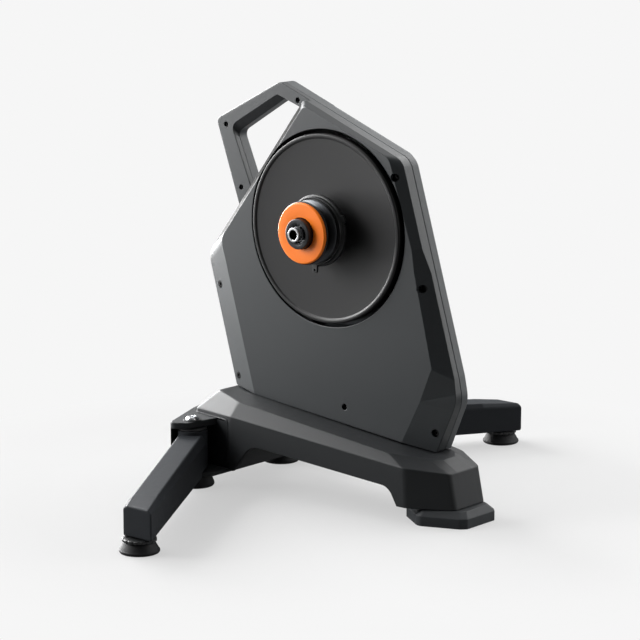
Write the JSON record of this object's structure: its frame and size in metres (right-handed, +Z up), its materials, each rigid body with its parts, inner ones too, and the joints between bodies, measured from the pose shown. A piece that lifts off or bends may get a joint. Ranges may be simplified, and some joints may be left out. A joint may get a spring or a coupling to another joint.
{
  "type": "direct drive bike trainer",
  "caption": "Folding direct drive bike trainer: bevelled two-shell housing with carry handle, belt disc and guarded single cog on a bridge beam with two hinged legs.",
  "frame": {"origin": "Floor level, under the middle of the bounding box.", "axes": "+X towards the front of the bike, +Y from the drive side to the idle side along the axle and the leg span, +Z up."},
  "size_m": [0.446, 0.747, 0.5075],
  "materials": {
    "shell": "fine matte grain",
    "shell_far": "fine matte grain",
    "base": "satin dark grey",
    "legs": "satin dark grey",
    "rubber": "matte",
    "disc": "satin black",
    "steel": "satin",
    "dark_steel": "satin, dark",
    "black_plastic": "satin",
    "orange": "semi gloss",
    "cast_iron": "dark",
    "copper": "lacquered winding",
    "board": "solder mask"
  },
  "bodies": {
    "frame": {"drive_side_shell": "shell", "idle_side_shell": "shell_far", "base_beam": "base", "front_pad": "rubber", "rear_crossmember": "base", "drive_hinge_bolt": "steel", "idle_hinge_bolt": "steel", "drive_upper_washer": "black_plastic", "drive_lower_washer": "black_plastic", "idle_upper_washer": "black_plastic", "idle_lower_washer": "black_plastic", "drive_rear_foot": "rubber", "idle_rear_foot": "rubber", "frame_plate": "dark_steel", "frame_bolt_1": "steel", "frame_bolt_2": "steel", "frame_bolt_3": "steel", "hub_carrier": "cast_iron", "axle_tube": "steel", "drive_end_cap": "steel", "idle_end_cap": "steel", "disc_bearing": "steel", "freehub_bearing": "steel", "shaft_bearing": "steel", "drive_belt": "rubber", "tension_arm": "steel", "brake_coil_1": "copper", "brake_coil_2": "copper", "circuit_board": "board", "power_inlet": "black_plastic"},
    "disc": {"belt_disc": "disc"},
    "freehub": {"freehub_body": "dark_steel", "cog_sleeve": "black_plastic", "lockring": "dark_steel"},
    "cog_carrier": {"cog": "dark_steel", "outer_guard": "black_plastic", "guard_cover": "orange", "inner_guard": "black_plastic"},
    "adjuster": {"adjuster_ring": "black_plastic"},
    "flywheel_set": {"flywheel": "cast_iron", "flywheel_shaft": "steel", "small_pulley": "dark_steel"},
    "roller": {"tension_roller": "dark_steel"},
    "drive_side_leg": {"drive_leg": "legs"},
    "idle_side_leg": {"idle_leg": "legs"},
    "drive_side_foot": {"drive_leg_foot": "rubber", "drive_leg_nut": "black_plastic"},
    "idle_side_foot": {"idle_leg_foot": "rubber", "idle_leg_nut": "black_plastic"}
  },
  "joints": [
    {"name": "disc_spin", "type": "hinge", "parent": "frame", "child": "disc", "pos_m": [-0.017, 0, 0.3352], "axis": [0, 1, 0], "continuous": true},
    {"name": "freehub_spin", "type": "hinge", "parent": "disc", "child": "freehub", "pos_m": [-0.017, 0, 0.3352], "axis": [0, 1, 0], "continuous": true},
    {"name": "cog_shift", "type": "slide", "parent": "freehub", "child": "cog_carrier", "axis": [0, 1, 0], "range_m": [-0.0013, 0.0013]},
    {"name": "click_ring_turn", "type": "hinge", "parent": "freehub", "child": "adjuster", "pos_m": [-0.017, -0.0235, 0.3352], "axis": [0, 1, 0], "range_deg": [-30, 30]},
    {"name": "flywheel_spin", "type": "hinge", "parent": "frame", "child": "flywheel_set", "pos_m": [0.023, 0.0278, 0.1804], "axis": [0, 1, 0], "continuous": true},
    {"name": "roller_spin", "type": "hinge", "parent": "frame", "child": "roller", "pos_m": [-0.04051, 0.00625, 0.18716], "axis": [0, 1, 0], "continuous": true},
    {"name": "drive_leg_fold", "type": "hinge", "parent": "frame", "child": "drive_side_leg", "pos_m": [-0.171, -0.084, 0.045], "axis": [0, 0, 1], "range_deg": [0, 56]},
    {"name": "idle_leg_fold", "type": "hinge", "parent": "frame", "child": "idle_side_leg", "pos_m": [-0.171, 0.084, 0.045], "axis": [0, 0, -1], "range_deg": [0, 56]},
    {"name": "drive_foot_screw", "type": "slide", "parent": "drive_side_leg", "child": "drive_side_foot", "axis": [0, 0, 1], "range_m": [-0.006, 0]},
    {"name": "idle_foot_screw", "type": "slide", "parent": "idle_side_leg", "child": "idle_side_foot", "axis": [0, 0, 1], "range_m": [-0.006, 0]}
  ],
  "couplings": [
    {"joint": "flywheel_spin", "follows": "disc_spin", "ratio": 6},
    {"joint": "roller_spin", "follows": "disc_spin", "ratio": -7.2},
    {"joint": "click_ring_turn", "follows": "cog_shift", "rad_per_m": 400}
  ]
}
